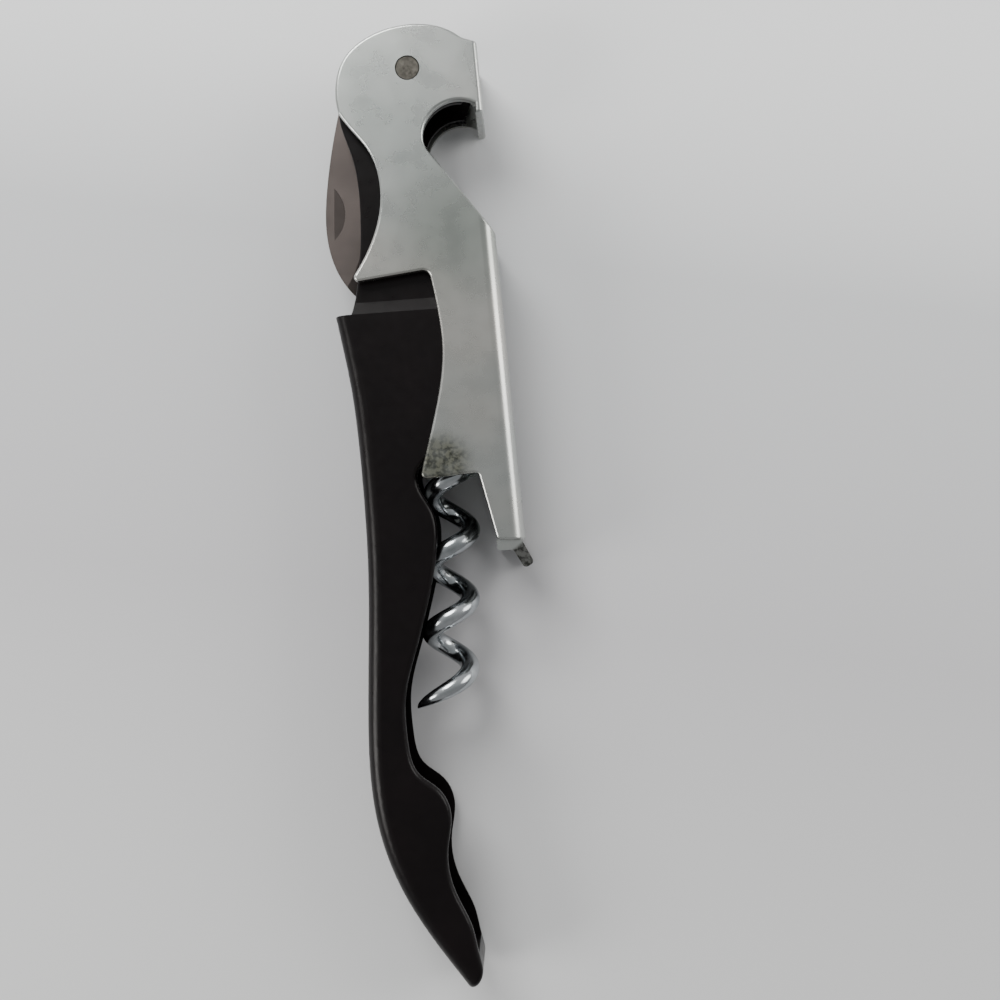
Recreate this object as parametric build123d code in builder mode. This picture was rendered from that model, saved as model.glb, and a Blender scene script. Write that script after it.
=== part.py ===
"""Waiters corkscrew with a one-piece lever, folded shut and lying on its side.

Millimetres. X runs across the tool (the lever side is +X), Y runs along it towards the
head, Z runs through its thickness. The origin is the centre of the footprint, on the
face that the tool lies on. Side profiles are measured from the axis of the head rivet.
"""

import os
from math import cos, pi, radians, sin

from build123d import *

os.makedirs("parts", exist_ok=True)

# ---------------------------------------------------------------- driving dimensions
rivet_x = 0.44
rivet_y = 56.61

lever_width = 12.6
lever_sheet = 1.0
head_fold_radius = 0.6
web_fold_radius = 1.9
lever_rim_radius = 0.35
foot_inset = 0.6

body_width = 10.2
neck_width = 8.6
handle_sheet = 0.95
handle_fold_radius = 1.9
handle_rim_radius = 0.6
neck_rim_radius = 0.25

head_rivet_radius = 1.55
worm_pin_radius = 1.05
worm_pivot = (3.1, -35.0)
fit_clearance = 0.02
running_clearance = 0.05
side_clearance = 0.05
rivet_recess = 0.05
rivet_chamfer = 0.08
lever_washer_radius = 3.6
blade_spacer_radius = 3.2

blade_thickness = 1.0
blade_bevel = 1.6
blade_bevel_drop = 0.35
nick_depth = 0.25
nick_width = 1.45

wire_radius = 1.25
coil_radius = 2.55
coil_pitch = 9.1
coil_turns = 4.0
coil_tilt = 4.25
shank_length = 6.8
shank_seat = 1.35
shank_turns = 0.45
point_turns = 0.5
point_flare = 1.7
point_drop = 0.75
point_sections = 8
point_tip_radius = 0.15
knuckle_radius = 2.5
worm_washer_thickness = 0.5

spring_thickness = 0.5
spring_width = 6.0
spring_gap = 0.15

middle = lever_width / 2
body_low = middle - body_width / 2
body_high = middle + body_width / 2
neck_low = middle - neck_width / 2
neck_high = middle + neck_width / 2

# Outer face of the lever's web: its distance from the rivet grows towards the foot.
web_top = (9.15, 2.8)
web_foot = (10.99, -61.9)
web_slope = (web_foot[0] - web_top[0]) / (web_top[1] - web_foot[1])


def web_x(y):
    """X of the web's outer face at height y above the rivet."""
    return web_top[0] + (web_top[1] - y) * web_slope


def level(z):
    """Side-profile plane at height z, with its origin on the head rivet's axis."""
    return Plane(origin=(rivet_x, rivet_y, z))


def corner(sketch, x, y):
    """The vertex of a side-profile sketch that lies nearest to (x, y) from the rivet."""
    return sketch.vertices().sort_by_distance((x, y, 0))[0]


# --------------------------------------------------------------------------- lever
# One folded sheet: two like side plates joined by a web along the outer side. The web
# is missing between the cap opener's tooth and the end of the slanted edge.
tooth_y = -6.4
web_start_y = -22.0
step_one_y = -53.2

with BuildPart() as lever:
    with BuildSketch(level(0)) as lever_profile:
        with BuildLine():
            Spline(
                (-9.3, -5.2),
                (-9.45, -1.6),
                (-8.2, 1.8),
                (-4.7, 4.55),
                (0.3, 5.72),
                (4.6, 5.1),
                (7.2, 3.5),
            )
            Line((7.2, 3.5), web_top)
            Line(web_top, (web_x(tooth_y), tooth_y))
            Line((web_x(tooth_y), tooth_y), (8.4, tooth_y))
            Line((8.4, tooth_y), (8.4, -5.2))
            ThreePointArc((8.4, -5.2), (4.6, -4.85), (1.42, -8.7))
            ThreePointArc((1.42, -8.7), (1.55, -10.05), (2.2, -11.25))
            Line((2.2, -11.25), (web_x(web_start_y), web_start_y))
            Line((web_x(web_start_y), web_start_y), web_foot)
            Line(web_foot, (7.35, -61.6))
            Line((7.35, -61.6), (5.5, -52.8))
            Line((5.5, -52.8), (-2.05, step_one_y))
            Spline((-2.05, step_one_y), (0.5, -44.6), (2.0, -36.0), (1.75, -31.8), (0.95, -26.25))
            Line((0.95, -26.25), (-9.5, -27.3))
            Spline((-9.5, -27.3), (-6.35, -22.5), (-4.63, -16.4), (-5.8, -10.3), (-8.5, -6.5), (-9.3, -5.2))
        make_face()
        fillet(corner(lever_profile, -9.5, -27.3), 0.6)
        fillet(corner(lever_profile, 0.95, -26.25), 1.0)
        fillet(corner(lever_profile, -2.05, step_one_y), 0.7)
        fillet(corner(lever_profile, 5.5, -52.8), 0.6)
        fillet(corner(lever_profile, 7.35, -61.6), 0.6)
        fillet(corner(lever_profile, 7.2, 3.5), 2.0)
    extrude(amount=lever_width)
    for z in (0, lever_width):
        on_face = lever.edges().filter_by(lambda e, z=z: abs(e.center().Z - z) < 0.01)
        head_fold = on_face.sort_by_distance((rivet_x + web_x(-2), rivet_y - 2, z))[0]
        fillet(head_fold, head_fold_radius)
        on_face = lever.edges().filter_by(lambda e, z=z: abs(e.center().Z - z) < 0.01)
        web_fold = on_face.sort_by_distance((rivet_x + web_x(-42), rivet_y - 42, z))[0]
        fillet(web_fold, web_fold_radius)
    # Channel between the side plates, open on the inner side and at both ends.
    with BuildSketch(level(lever_sheet)):
        with BuildLine():
            Polyline(
                (-20, 12),
                (web_x(12) - lever_sheet, 12),
                (web_x(-70) - lever_sheet, -70),
                (-20, -70),
                close=True,
            )
        make_face()
    extrude(amount=lever_width - 2 * lever_sheet, mode=Mode.SUBTRACT)
    # Rolled rims along the cut edges of both plates' outer faces.
    rims = ShapeList()
    for end in (0, -1):
        plate = lever.faces().filter_by(Axis.Z).sort_by(Axis.Z)[end]
        border = plate.outer_wire().edges()
        rims += border.filter_by(lambda e: e.center().X - rivet_x < 8.6 or e.length < 1.5)
    fillet(rims, lever_rim_radius)
    # Foot: the web's end is turned in to a ledge and out again to a tongue.
    with BuildSketch(level(foot_inset)) as foot:
        with BuildLine():
            Polyline(
                (7.25, -61.5),
                (7.25, -63.0),
                (9.3, -63.0),
                (10.6, -65.5),
                (11.9, -64.8),
                (10.5, -61.9),
                (10.2, -61.5),
                close=True,
            )
        make_face()
        fillet(corner(foot, 7.25, -63.0), 0.4)
        fillet(corner(foot, 9.3, -63.0), 0.5)
        fillet(corner(foot, 10.6, -65.5), 0.55)
        fillet(corner(foot, 11.9, -64.8), 0.55)
    extrude(amount=lever_width - 2 * foot_inset)
    with Locations(level(0)):
        Cylinder(
            head_rivet_radius + running_clearance,
            lever_width,
            align=(Align.CENTER, Align.CENTER, Align.MIN),
            mode=Mode.SUBTRACT,
        )
lever.part.label = "lever"
export_step(lever.part, "parts/lever.step")

# -------------------------------------------------------------------- handle body
# One folded sheet with its back along -X. Above the shoulder the back is left out and
# the two cheeks are set inwards, so that the neck fits between the lever's plates.
neck_end_y = -29.6
shoulder_y = -31.2
nose_wall_y = -114.4
back_points = [
    (-14.6, 8.0),
    (-13.6, -16.0),
    (-11.75, shoulder_y),
    (-10.4, -40.5),
    (-9.8, -51.0),
    (-9.8, -64.0),
    (-11.1, -83.5),
    (-10.9, -96.5),
    (-8.35, -105.6),
    (-4.55, -112.6),
    (-0.3, -118.9),
    (2.5, -123.2),
]


def side_step(neck_half, body_half):
    """Half of the handle's width profile, from beyond the head down past the tail."""
    return [
        (20, 0),
        (20, neck_half),
        (neck_end_y, neck_half),
        (shoulder_y, body_half),
        (-125, body_half),
        (-125, 0),
    ]


def inside_back(distance, points=20):
    """Points on a line that runs this far inside the curve of the handle's back."""
    curve = Spline(*back_points)
    line = []
    for number in range(points + 1):
        along = curve % (number / points)
        line.append(curve @ (number / points) + Vector(-along.Y, along.X) * distance)
    return line


inner_points = inside_back(handle_sheet)
width_plane = Plane(origin=(rivet_x, rivet_y, middle), x_dir=(0, 1, 0), z_dir=(1, 0, 0))

with BuildPart() as handle_room:
    # Space inside the folded sheet: all that lies on the open side of its back.
    with BuildSketch(level(body_low)):
        with BuildLine():
            inner_back = Spline(*inner_points)
            Polyline(inner_back @ 0, (20, (inner_back @ 0).Y), (20, (inner_back @ 1).Y), inner_back @ 1)
        make_face()
    extrude(amount=body_width)
    # The tail's nose is left closed.
    with BuildSketch(level(body_low)):
        with BuildLine():
            Polyline(
                (-6, -117.2),
                (-0.35, -117.2),
                (0.45, nose_wall_y),
                (20, nose_wall_y),
                (20, -130),
                (-6, -130),
                close=True,
            )
        make_face()
    extrude(amount=body_width, mode=Mode.SUBTRACT)
    # The back is cut away above the shoulder.
    with BuildSketch(level(body_low)):
        with Locations((-10, shoulder_y)):
            Rectangle(20, 45, align=(Align.CENTER, Align.MIN))
    extrude(amount=body_width)
    with BuildSketch(width_plane):
        with BuildLine():
            Polyline(*side_step(neck_width / 2 - handle_sheet, body_width / 2 - handle_sheet))
            mirror(about=Plane.XZ)
        make_face()
    extrude(amount=40, both=True, mode=Mode.INTERSECT)

with BuildPart() as handle_body:
    # Everything on the inner side of the back's smooth curve, folded over at both edges.
    with BuildSketch(level(body_low)):
        with BuildLine():
            back = Spline(*back_points)
            Polyline(back @ 1, (25, -123.2), (25, 8.0), back @ 0)
        make_face()
    extrude(amount=body_width)
    folds = handle_body.edges().filter_by(GeomType.BSPLINE)
    fillet(folds, handle_fold_radius)
    with BuildSketch(level(body_low - 1)):
        with BuildLine():
            # Rounded nose, then the open side up past the finger waves and under the lever.
            Spline(
                (-1.5, -119.6),
                (0.2, -119.0),
                (1.1, -118.1),
                (1.6, -116.8),
                (1.45, -115.3),
                (1.15, -113.8),
                (0.7, -111.2),
                (-0.95, -107.1),
                (-1.8, -104.0),
                (-1.75, -100.6),
                (-1.1, -96.6),
                (-2.5, -93.1),
                (-4.9, -91.0),
                (-6.05, -86.5),
                (-5.95, -81.2),
                (-4.0, -74.7),
                (-2.0, -68.4),
                (-0.55, -62.0),
                (-0.8, -57.3),
                (-2.1, -54.7),
                (-2.4, -52.4),
                (0.6, -49.8),
                (4.6, -46.4),
                (5.9, -40.5),
                (5.9, -33.0),
                (4.8, -25.5),
                (1.1, -14.0),
                (1.25, -8.2),
            )
            # Head of the neck: it follows the cap opener's notch and fills the head.
            ThreePointArc((1.25, -8.2), (3.21, -5.28), (6.6, -4.37))
            Spline(
                (6.6, -4.37),
                (7.6, -2.2),
                (7.7, 0.5),
                (6.6, 2.9),
                (4.0, 4.4),
                (0, 5.0),
                (-2.7, 4.2),
                (-4.44, 2.7),
            )
            Spline(
                (-4.44, 2.7),
                (-8.5, -1.2),
                (-9.45, -5.0),
                (-8.2, -10.2),
                (-7.55, -17.5),
                (-8.0, -23.8),
                (-9.3, -30.6),
            )
            Polyline((-9.3, -30.6), (-9.5, shoulder_y), (-20, shoulder_y), (-20, -119.6), (-1.5, -119.6))
        make_face()
    extrude(amount=body_width + 2, mode=Mode.INTERSECT)
    with BuildSketch(width_plane):
        with BuildLine():
            Polyline(*side_step(neck_width / 2, body_width / 2))
            mirror(about=Plane.XZ)
        make_face()
    extrude(amount=40, both=True, mode=Mode.INTERSECT)
    add(handle_room.part, mode=Mode.SUBTRACT)
    # Rolled rims along the open side of the body.
    rims = ShapeList()
    for z in (body_low, body_high):
        on_face = handle_body.edges().filter_by(lambda e, z=z: abs(e.center().Z - z) < 0.01)
        rims += on_face.sort_by_distance((rivet_x + 5.9, rivet_y - 40.0, z))[:1]
    fillet(rims, handle_rim_radius)
    for z in (neck_low, neck_high):
        sides = handle_body.edges().filter_by(lambda e, z=z: abs(e.center().Z - z) < 0.01 and e.length > 18)
        fillet(sides, neck_rim_radius)
    with Locations(level(neck_low)):
        Cylinder(
            head_rivet_radius + fit_clearance,
            neck_width,
            align=(Align.CENTER, Align.CENTER, Align.MIN),
            mode=Mode.SUBTRACT,
        )
    with BuildSketch(level(body_low)):
        with Locations(worm_pivot):
            Circle(worm_pin_radius + fit_clearance)
    extrude(amount=body_width, mode=Mode.SUBTRACT)
handle_body.part.label = "handle_body"
export_step(handle_body.part, "parts/handle_body.step")


# --------------------------------------------------------------------- head rivet
with BuildPart() as head_rivet:
    with BuildSketch(level(rivet_recess)):
        Circle(head_rivet_radius)
    extrude(amount=lever_width - 2 * rivet_recess)
    chamfer(head_rivet.edges().filter_by(GeomType.CIRCLE), rivet_chamfer)
head_rivet.part.label = "head_rivet"
export_step(head_rivet.part, "parts/head_rivet.step")


def ring(bottom, top, centre, inner, outer):
    """A plain washer or sleeve between two heights, round a side-profile point."""
    with BuildPart() as piece:
        with BuildSketch(level(bottom)):
            with Locations(centre):
                Circle(outer)
                Circle(inner, mode=Mode.SUBTRACT)
        extrude(amount=top - bottom)
    return piece.part


# Shim washers fill the step between the narrow neck and the lever's plates.
lever_washer_rear = ring(
    lever_sheet + side_clearance,
    neck_low - side_clearance,
    (0, 0),
    head_rivet_radius + running_clearance,
    lever_washer_radius,
)
lever_washer_rear.label = "lever_washer_rear"
export_step(lever_washer_rear, "parts/lever_washer_rear.step")

lever_washer_front = ring(
    neck_high + side_clearance,
    lever_width - lever_sheet - side_clearance,
    (0, 0),
    head_rivet_radius + running_clearance,
    lever_washer_radius,
)
lever_washer_front.label = "lever_washer_front"
export_step(lever_washer_front, "parts/lever_washer_front.step")

# -------------------------------------------------------------------------- blade
blade_low = middle - blade_thickness / 2
blade_high = middle + blade_thickness / 2

with BuildPart() as blade:
    with BuildSketch(level(blade_low)):
        with BuildLine():
            # Tang round the rivet, then the straight back and the bellied spine.
            ThreePointArc((-2.45, -4.24), (4.9, 0.0), (-2.45, 4.24))
            Spline((-2.45, 4.24), (-6.6, 1.6), (-9.5, -2.0))
            Spline((-9.5, -2.0), (-10.6, -6.0), (-12.2, -13.9), (-12.6, -18.8), (-11.8, -23.8), (-9.3, -28.0))
            Spline((-9.3, -28.0), (-6.9, -23.5), (-5.6, -17.0), (-5.2, -10.5))
            Spline((-5.2, -10.5), (-4.7, -7.0), (-2.45, -4.24))
        make_face()
    extrude(amount=blade_thickness)
    # The cutting side is ground thinner on both faces.
    for z in (blade_low, blade_high):
        ground = blade.edges().filter_by(lambda e, z=z: abs(e.center().Z - z) < 0.01)
        keen = ground.sort_by_distance((rivet_x - 5.9, rivet_y - 18.0, z))[0]
        flat = blade.faces().filter_by(Axis.Z).sort_by_distance((rivet_x, rivet_y, z))[0]
        chamfer(keen, length=blade_bevel, length2=blade_bevel_drop, reference=flat)
    # Thumbnail nick in the front face: its floor slopes down from its straight side.
    along_nick = Vector(-0.06, -1, 0)
    slope = Vector(1, -0.06, -nick_depth / nick_width)
    nick_floor = Plane(
        origin=(rivet_x - 11.4, rivet_y - 16.9, blade_high),
        x_dir=along_nick,
        z_dir=along_nick.cross(slope),
    )
    with BuildSketch(nick_floor):
        with BuildLine():
            ThreePointArc((-3.5, 0), (0, nick_width), (3.5, 0))
            Line((3.5, 0), (-3.5, 0))
        make_face()
    extrude(amount=blade_thickness, mode=Mode.SUBTRACT)
    with Locations(level(blade_low)):
        Cylinder(
            head_rivet_radius + running_clearance,
            blade_thickness,
            align=(Align.CENTER, Align.CENTER, Align.MIN),
            mode=Mode.SUBTRACT,
        )
blade.part.label = "blade"
export_step(blade.part, "parts/blade.step")

# Sleeves on the rivet keep the blade in the middle of the neck.
blade_spacer_rear = ring(
    neck_low + handle_sheet + side_clearance,
    blade_low - side_clearance,
    (0, 0),
    head_rivet_radius + running_clearance,
    blade_spacer_radius,
)
blade_spacer_rear.label = "blade_spacer_rear"
export_step(blade_spacer_rear, "parts/blade_spacer_rear.step")

blade_spacer_front = ring(
    blade_high + side_clearance,
    neck_high - handle_sheet - side_clearance,
    (0, 0),
    head_rivet_radius + running_clearance,
    blade_spacer_radius,
)
blade_spacer_front.label = "blade_spacer_front"
export_step(blade_spacer_front, "parts/blade_spacer_front.step")

# --------------------------------------------------------------------------- worm
# The worm's own frame: its origin is where the full coil starts, Z points down the
# coil's axis towards the tail, X to the lever side and Y to the front.
down = Vector(-sin(radians(coil_tilt)), -cos(radians(coil_tilt)), 0)
across = Vector(cos(radians(coil_tilt)), -sin(radians(coil_tilt)), 0)
pivot = Vector(rivet_x + worm_pivot[0], rivet_y + worm_pivot[1], middle)
coil_frame = Plane(origin=pivot + down * shank_length, x_dir=across, z_dir=down)


def coil_point(turn, radius):
    """A point this many turns along the coil, at a distance from the coil's axis."""
    angle = 2 * pi * turn
    return coil_frame.from_local_coords(Vector(radius * cos(angle), radius * sin(angle), coil_pitch * turn))


def point_centre(turn):
    """The wire's centre line opens out and steepens over the last half turn."""
    part_way = (turn - coil_turns) / point_turns
    return coil_point(turn, coil_radius + point_flare * part_way**2) + down * point_drop * part_way**2


coil = coil_frame.location * Helix(pitch=coil_pitch, height=coil_pitch * coil_turns, radius=coil_radius)

with BuildPart() as worm:
    with BuildSketch(Plane(origin=coil @ 0, z_dir=coil % 0)):
        Circle(wire_radius)
    sweep(path=coil, is_frenet=True)
    # Shank: off the coil in a shrinking half turn, then straight up the axis.
    shank_top = pivot + down * shank_seat
    with BuildLine() as shank:
        spread = [
            coil_point(-shank_turns * (1 - u), coil_radius * (1 - cos(pi * u)) / 2)
            for u in (0, 0.2, 0.4, 0.6, 0.8, 1)
        ]
        Line(shank_top, spread[0])
        Spline(*spread, tangents=(down, coil % 0))
    with BuildSketch(Plane(origin=shank_top, z_dir=down)):
        Circle(wire_radius)
    sweep(path=shank.wire(), transition=Transition.ROUND)
    # Point: the wire thins down over the last half turn.
    for step in range(point_sections + 1):
        part_way = step / point_sections
        turn = coil_turns + point_turns * part_way
        here = point_centre(turn)
        ahead = point_centre(turn + 0.001)
        outward = coil_point(turn, 2 * coil_radius) - coil_point(turn, coil_radius)
        heading = ahead - here if step else coil % 1
        with BuildSketch(Plane(origin=here, x_dir=outward, z_dir=heading)):
            Circle(wire_radius * (1 - part_way**3) + point_tip_radius * part_way**3)
    loft()
worm.part.label = "worm"
export_step(worm.part, "parts/worm.step")

# Barrel that the worm's shank is fixed in; it turns on the worm pin.
knuckle_low = body_low + handle_sheet + 2 * side_clearance + worm_washer_thickness
knuckle_high = lever_width - knuckle_low

with BuildPart() as worm_knuckle:
    with BuildSketch(level(knuckle_low)):
        with Locations(worm_pivot):
            Circle(knuckle_radius)
            Circle(worm_pin_radius + running_clearance, mode=Mode.SUBTRACT)
    extrude(amount=knuckle_high - knuckle_low)
    with BuildSketch(Plane(origin=pivot + down * (shank_seat - side_clearance), z_dir=down)):
        Circle(wire_radius + fit_clearance)
    extrude(amount=knuckle_radius, mode=Mode.SUBTRACT)
worm_knuckle.part.label = "worm_knuckle"
export_step(worm_knuckle.part, "parts/worm_knuckle.step")

with BuildPart() as worm_pin:
    with BuildSketch(level(body_low)):
        with Locations(worm_pivot):
            Circle(worm_pin_radius)
    extrude(amount=body_width)
worm_pin.part.label = "worm_pin"
export_step(worm_pin.part, "parts/worm_pin.step")

worm_washer_rear = ring(
    body_low + handle_sheet + side_clearance,
    knuckle_low - side_clearance,
    worm_pivot,
    worm_pin_radius + running_clearance,
    knuckle_radius,
)
worm_washer_rear.label = "worm_washer_rear"
export_step(worm_washer_rear, "parts/worm_washer_rear.step")

worm_washer_front = ring(
    knuckle_high + side_clearance,
    body_high - handle_sheet - side_clearance,
    worm_pivot,
    worm_pin_radius + running_clearance,
    knuckle_radius,
)
worm_washer_front.label = "worm_washer_front"
export_step(worm_washer_front, "parts/worm_washer_front.step")

# -------------------------------------------------------------------- back spring
# Leaf that lies along the inside of the handle's back and bears on the knuckle.
seat_x = max(point.X for point in inner_points if -66 < point.Y < -50)
leaf_x = seat_x + side_clearance + spring_thickness / 2
bearing_angle = radians(150)
bearing_reach = knuckle_radius + spring_gap + spring_thickness / 2

with BuildPart() as back_spring:
    with BuildSketch(level(middle - spring_width / 2)):
        with BuildLine():
            bearing = Vector(
                worm_pivot[0] + bearing_reach * cos(bearing_angle),
                worm_pivot[1] + bearing_reach * sin(bearing_angle),
            )
            seat = Line((leaf_x, -63.0), (leaf_x, -57.0))
            rise = Spline(seat @ 1, bearing, tangents=((0, 1), (0.5, 0.866)))
            Line(rise @ 1, rise @ 1 + (rise % 1) * 1.5)
        trace(line_width=spring_thickness)
    extrude(amount=spring_width)
back_spring.part.label = "back_spring"
export_step(back_spring.part, "parts/back_spring.step")
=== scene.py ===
"""Waiters corkscrew, folded shut and lying on its side: materials, light and camera."""

import math

import bpy
from mathutils import Euler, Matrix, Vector

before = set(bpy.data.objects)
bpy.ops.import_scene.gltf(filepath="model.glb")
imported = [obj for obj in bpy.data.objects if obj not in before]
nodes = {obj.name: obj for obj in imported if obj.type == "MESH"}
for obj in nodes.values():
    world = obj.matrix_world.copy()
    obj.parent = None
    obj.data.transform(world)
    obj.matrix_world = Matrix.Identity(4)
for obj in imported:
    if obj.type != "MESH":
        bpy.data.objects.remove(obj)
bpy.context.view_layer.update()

MM = 0.001
NOISE_SPAN = (0.3, 0.7)
FULL_SPAN = (0.0, 1.0)

# ------------------------------------------------------------------ node helpers


def new_material(name):
    """An empty node material with its Principled shader and output joined."""
    material = bpy.data.materials.new(name)
    material.use_nodes = True
    tree = material.node_tree
    shader = tree.nodes["Principled BSDF"]
    return material, tree, shader


def noise(tree, scale, detail=4.0, roughness=0.55, stretch=(1.0, 1.0, 1.0)):
    """Noise in object space, its scale per metre, squeezed along the given axes."""
    place = tree.nodes.new("ShaderNodeTexCoord")
    mapping = tree.nodes.new("ShaderNodeMapping")
    mapping.inputs["Scale"].default_value = stretch
    texture = tree.nodes.new("ShaderNodeTexNoise")
    texture.inputs["Scale"].default_value = scale
    texture.inputs["Detail"].default_value = detail
    texture.inputs["Roughness"].default_value = roughness
    tree.links.new(place.outputs["Object"], mapping.inputs["Vector"])
    tree.links.new(mapping.outputs["Vector"], texture.inputs["Vector"])
    return texture.outputs["Fac"]


def ramp(tree, value, stops):
    """Colour ramp over a value; stops are (position, colour)."""
    node = tree.nodes.new("ShaderNodeValToRGB")
    node.color_ramp.elements[0].position = stops[0][0]
    node.color_ramp.elements[0].color = (*stops[0][1], 1.0)
    node.color_ramp.elements[1].position = stops[-1][0]
    node.color_ramp.elements[1].color = (*stops[-1][1], 1.0)
    for position, colour in stops[1:-1]:
        element = node.color_ramp.elements.new(position)
        element.color = (*colour, 1.0)
    tree.links.new(value, node.inputs["Fac"])
    return node.outputs["Color"]


def remap(tree, value, span, low, high):
    """A value's span moved to another range, without overshooting it."""
    node = tree.nodes.new("ShaderNodeMapRange")
    node.inputs["From Min"].default_value = span[0]
    node.inputs["From Max"].default_value = span[1]
    node.inputs["To Min"].default_value = low
    node.inputs["To Max"].default_value = high
    tree.links.new(value, node.inputs["Value"])
    return node


def spread(tree, value, low, high):
    """Noise spread over a range."""
    return remap(tree, value, NOISE_SPAN, low, high).outputs["Result"]


def scaled(tree, value, low, high):
    """A 0 to 1 value moved to another range."""
    return remap(tree, value, FULL_SPAN, low, high).outputs["Result"]


def eased(tree, value, start, end, low, high):
    """A distance in metres eased from low to high between two distances in millimetres."""
    node = remap(tree, value, (start * MM, end * MM), low, high)
    node.interpolation_type = "SMOOTHSTEP"
    return node.outputs["Result"]


def bump(tree, shader, height, strength, distance):
    """Surface relief from a height value; distance is in metres."""
    node = tree.nodes.new("ShaderNodeBump")
    node.inputs["Strength"].default_value = strength
    node.inputs["Distance"].default_value = distance
    tree.links.new(height, node.inputs["Height"])
    tree.links.new(node.outputs["Normal"], shader.inputs["Normal"])


# --------------------------------------------------------------------- materials


def position(tree):
    """Object-space position, in metres."""
    return tree.nodes.new("ShaderNodeTexCoord").outputs["Object"]


def along(tree, direction, start, end):
    """0 to 1 over a stretch of the object, measured along a direction in millimetres."""
    dot = tree.nodes.new("ShaderNodeVectorMath")
    dot.operation = "DOT_PRODUCT"
    dot.inputs[1].default_value = direction
    tree.links.new(position(tree), dot.inputs[0])
    return eased(tree, dot.outputs["Value"], start, end, 0.0, 1.0)


def near(tree, centre, inner, outer):
    """1 near a point of the object, 0 past the outer distance, in millimetres."""
    gap = tree.nodes.new("ShaderNodeVectorMath")
    gap.operation = "DISTANCE"
    gap.inputs[1].default_value = [value * MM for value in centre]
    tree.links.new(position(tree), gap.inputs[0])
    return eased(tree, gap.outputs["Value"], inner, outer, 1.0, 0.0)


def blend(tree, amount, first, second):
    """Colour mixed from the first to the second by an amount."""
    mix = tree.nodes.new("ShaderNodeMix")
    mix.data_type = "RGBA"
    tree.links.new(amount, mix.inputs[0])
    for socket, colour in ((mix.inputs[6], first), (mix.inputs[7], second)):
        if isinstance(colour, tuple):
            socket.default_value = (*colour, 1.0)
        else:
            tree.links.new(colour, socket)
    return mix.outputs[2]


def times(tree, first, second):
    """Product of two values."""
    node = tree.nodes.new("ShaderNodeMath")
    node.operation = "MULTIPLY"
    tree.links.new(first, node.inputs[0])
    tree.links.new(second, node.inputs[1])
    return node.outputs["Value"]


def plated_sheet():
    """Plating on pressed sheet: soft clouds, a painted patch of shade standing in for a dim reflection, one
    worn patch, a raw cut tongue.
    """
    material, tree, shader = new_material("plated_sheet")
    shader.inputs["Metallic"].default_value = 1.0
    cloud = noise(tree, 55.0, detail=2.0, roughness=0.4)
    tint = ramp(
        tree,
        cloud,
        [(0.32, (0.415, 0.44, 0.425)), (0.5, (0.465, 0.48, 0.465)), (0.68, (0.53, 0.52, 0.49))],
    )
    fine = noise(tree, 700.0, detail=5.0, roughness=0.6)
    tint = blend(tree, spread(tree, fine, 0.0, 0.07), tint, (0.30, 0.31, 0.29))
    # Painted shade: a darker patch around (5, 35) mm on the front face, standing in for a dim reflection
    # rather than a mark on the plating.
    painted_reflection_shade = scaled(tree, near(tree, (5.0, 35.0, 12.6), 1.0, 13.0), 0.0, 0.62)
    tint = blend(tree, painted_reflection_shade, tint, (0.25, 0.275, 0.245))
    speckle = ramp(tree, noise(tree, 1500.0, detail=4.0), [(0.42, (0.0, 0.0, 0.0)), (0.56, (1.0, 1.0, 1.0))])
    worn = times(tree, near(tree, (1.2, 5.3, 12.6), 1.8, 5.0), spread(tree, fine, 0.6, 1.0))
    tint = blend(tree, worn, tint, blend(tree, speckle, (0.05, 0.052, 0.038), (0.22, 0.22, 0.17)))
    past_ledge = along(tree, (0.56, -0.83, 0.0), 10.5, 11.0)
    front_face = along(tree, (0.0, 0.0, 1.0), 11.85, 11.98)
    cut = times(tree, past_ledge, front_face)
    tint = blend(tree, cut, tint, blend(tree, speckle, (0.06, 0.06, 0.055), (0.20, 0.20, 0.19)))
    tree.links.new(tint, shader.inputs["Base Color"])
    tree.links.new(spread(tree, noise(tree, 300.0), 0.25, 0.31), shader.inputs["Roughness"])
    bump(tree, shader, noise(tree, 2600.0, detail=3.0, stretch=(1.0, 0.2, 1.0)), 0.05, 0.00004)
    return material


def coated_sheet():
    """Black coating with a soft gloss over pressed sheet."""
    material, tree, shader = new_material("coated_sheet")
    tint = ramp(tree, noise(tree, 120.0), [(0.3, (0.0018, 0.0009, 0.0011)), (0.7, (0.0034, 0.0019, 0.0022))])
    tree.links.new(tint, shader.inputs["Base Color"])
    shader.inputs["Specular IOR Level"].default_value = 0.2
    tree.links.new(spread(tree, noise(tree, 700.0), 0.27, 0.34), shader.inputs["Roughness"])
    bump(tree, shader, noise(tree, 2200.0, detail=2.0), 0.06, 0.00004)
    return material


def satin_steel():
    """Ground stainless steel with a fine even grain; its dark brown-grey base colour is painted shade,
    standing in for dim reflections on the blade.
    """
    material, tree, shader = new_material("satin_steel")
    shader.inputs["Metallic"].default_value = 1.0
    # Painted shade: these dark base colours stand in for dim reflections, not a toning of the steel.
    tint = ramp(
        tree,
        noise(tree, 160.0, detail=2.0),
        [(0.3, (0.085, 0.073, 0.069)), (0.7, (0.115, 0.098, 0.092))],
    )
    tree.links.new(tint, shader.inputs["Base Color"])
    grain = noise(tree, 2600.0, detail=3.0, stretch=(0.35, 1.0, 1.0))
    tree.links.new(spread(tree, grain, 0.36, 0.44), shader.inputs["Roughness"])
    bump(tree, shader, grain, 0.04, 0.00002)
    return material


def polished_plate():
    """Plating on drawn wire, softly polished."""
    material, tree, shader = new_material("polished_plate")
    shader.inputs["Metallic"].default_value = 1.0
    tint = ramp(tree, noise(tree, 350.0), [(0.3, (0.34, 0.365, 0.38)), (0.7, (0.50, 0.52, 0.535))])
    tree.links.new(tint, shader.inputs["Base Color"])
    tree.links.new(spread(tree, noise(tree, 1200.0), 0.14, 0.24), shader.inputs["Roughness"])
    bump(tree, shader, noise(tree, 700.0, detail=2.0), 0.10, 0.0001)
    return material


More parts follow.
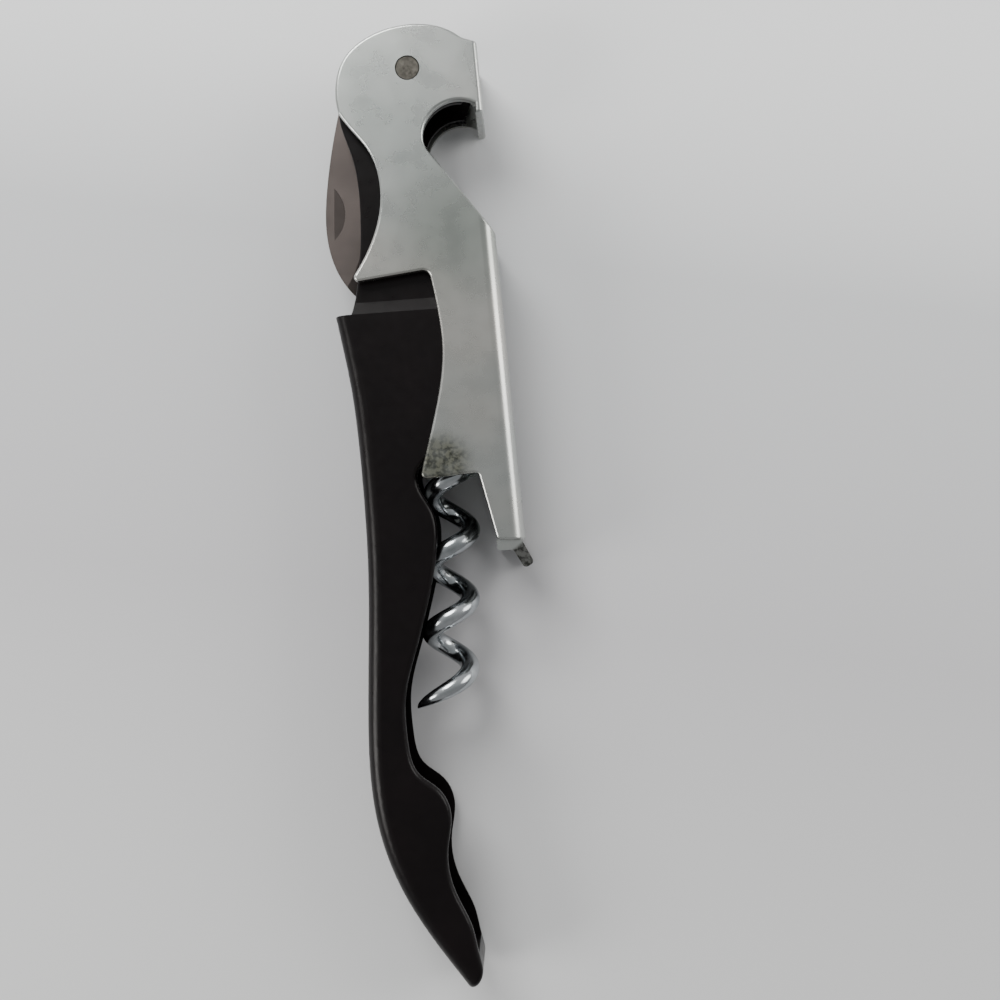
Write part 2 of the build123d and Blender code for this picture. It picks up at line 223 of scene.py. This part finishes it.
def raw_steel(name, dark, light, low, high):
    """Plain steel, mottled, for rivets, washers and the spring."""
    material, tree, shader = new_material(name)
    shader.inputs["Metallic"].default_value = 1.0
    tint = ramp(tree, noise(tree, 1400.0, detail=5.0), [(0.3, dark), (0.7, light)])
    tree.links.new(tint, shader.inputs["Base Color"])
    tree.links.new(spread(tree, noise(tree, 1800.0), low, high), shader.inputs["Roughness"])
    bump(tree, shader, noise(tree, 2400.0), 0.12, 0.00005)
    return material


plating = plated_sheet()
coating = coated_sheet()
blade_steel = satin_steel()
worm_plating = polished_plate()
rivet_steel = raw_steel("rivet_steel", (0.045, 0.042, 0.037), (0.125, 0.118, 0.103), 0.36, 0.5)
shim_steel = raw_steel("shim_steel", (0.45, 0.45, 0.44), (0.60, 0.60, 0.58), 0.25, 0.4)

FINISHES = {
    "handle_body": coating,
    "lever": plating,
    "blade": blade_steel,
    "worm": worm_plating,
    "worm_knuckle": worm_plating,
    "head_rivet": rivet_steel,
    "worm_pin": rivet_steel,
    "lever_washer_rear": shim_steel,
    "lever_washer_front": shim_steel,
    "blade_spacer_rear": shim_steel,
    "blade_spacer_front": shim_steel,
    "worm_washer_rear": shim_steel,
    "worm_washer_front": shim_steel,
    "back_spring": shim_steel,
}

for name, finish in FINISHES.items():
    piece = nodes[name]
    piece.data.materials.clear()
    piece.data.materials.append(finish)

# ------------------------------------------------------------------ floor, light


def pale_floor():
    """Matt pale floor with painted light and shade: lighter beyond the head, slightly lighter past the tail,
    darker between.
    """
    material, tree, shader = new_material("pale_floor")
    # Painted light and shade: the tone ramp along the floor stands in for the fall-off of the lamps and the
    # shade across the middle.
    painted_light_tone = ramp(
        tree,
        along(tree, (0.2, 0.98, 0.0), -75.0, 80.0),
        [
            (0.0, (0.65, 0.655, 0.66)),
            (0.35, (0.555, 0.552, 0.568)),
            (0.8, (0.61, 0.62, 0.635)),
            (1.0, (0.90, 0.91, 0.92)),
        ],
    )
    unevenness = spread(tree, noise(tree, 8.0), 0.0, 0.06)
    tree.links.new(blend(tree, unevenness, painted_light_tone, (0.5, 0.49, 0.52)), shader.inputs["Base Color"])
    shader.inputs["Roughness"].default_value = 0.6
    return material


bpy.ops.mesh.primitive_plane_add(size=3.0, location=(0.0, 0.0, 0.0))
floor = bpy.context.object
floor.name = "floor"
floor.data.materials.append(pale_floor())


def area_light(name, place, aim, size, power, colour):
    """A soft round light at a place, turned to a point."""
    data = bpy.data.lights.new(name, "AREA")
    data.shape = "DISK"
    data.size = size
    data.energy = power
    data.color = colour
    lamp = bpy.data.objects.new(name, data)
    lamp.location = place
    lamp.rotation_euler = (Vector(aim) - Vector(place)).to_track_quat("-Z", "Y").to_euler()
    bpy.context.scene.collection.objects.link(lamp)


area_light("key", (-0.18, 0.42, 0.42), (0.0, 0.0, 0.0), 0.34, 3.2, (1.0, 1.0, 0.98))
area_light("side", (0.42, 0.12, 0.22), (0.0, 0.02, 0.0), 0.30, 1.05, (1.0, 0.99, 0.96))
area_light("back", (-0.42, -0.10, 0.26), (0.0, -0.02, 0.0), 0.24, 1.3, (1.0, 0.98, 0.95))


def sky():
    """World light: pale all round, dimmer straight above and towards the tail."""
    world = bpy.data.worlds.new("sky")
    bpy.context.scene.world = world
    world.use_nodes = True
    tree = world.node_tree
    background = tree.nodes["Background"]
    place = tree.nodes.new("ShaderNodeTexCoord")
    split = tree.nodes.new("ShaderNodeSeparateXYZ")
    tree.links.new(place.outputs["Generated"], split.inputs["Vector"])
    shade = ramp(
        tree,
        split.outputs["Z"],
        [(0.0, (0.52, 0.51, 0.52)), (0.6, (0.52, 0.52, 0.52)), (1.0, (0.40, 0.41, 0.41))],
    )
    tree.links.new(shade, background.inputs["Color"])
    lengthwise = remap(tree, split.outputs["Y"], (-0.4, 0.5), 0.72, 1.3)
    tree.links.new(lengthwise.outputs["Result"], background.inputs["Strength"])


sky()

# ------------------------------------------------------------------------ camera
CAMERA_PLACE = (0.01140, -0.00399, 0.1856)
CAMERA_TURN_DEGREES = (1.271, 1.059, -4.039)
LENS = 48.67
SENSOR_WIDTH = 36.0

camera_data = bpy.data.cameras.new("camera")
camera_data.lens = LENS
camera_data.sensor_width = SENSOR_WIDTH
camera = bpy.data.objects.new("camera", camera_data)
camera.location = CAMERA_PLACE
camera.rotation_euler = Euler([math.radians(turn) for turn in CAMERA_TURN_DEGREES], "XYZ")
bpy.context.scene.collection.objects.link(camera)
bpy.context.scene.camera = camera
camera_data.clip_start = 0.005
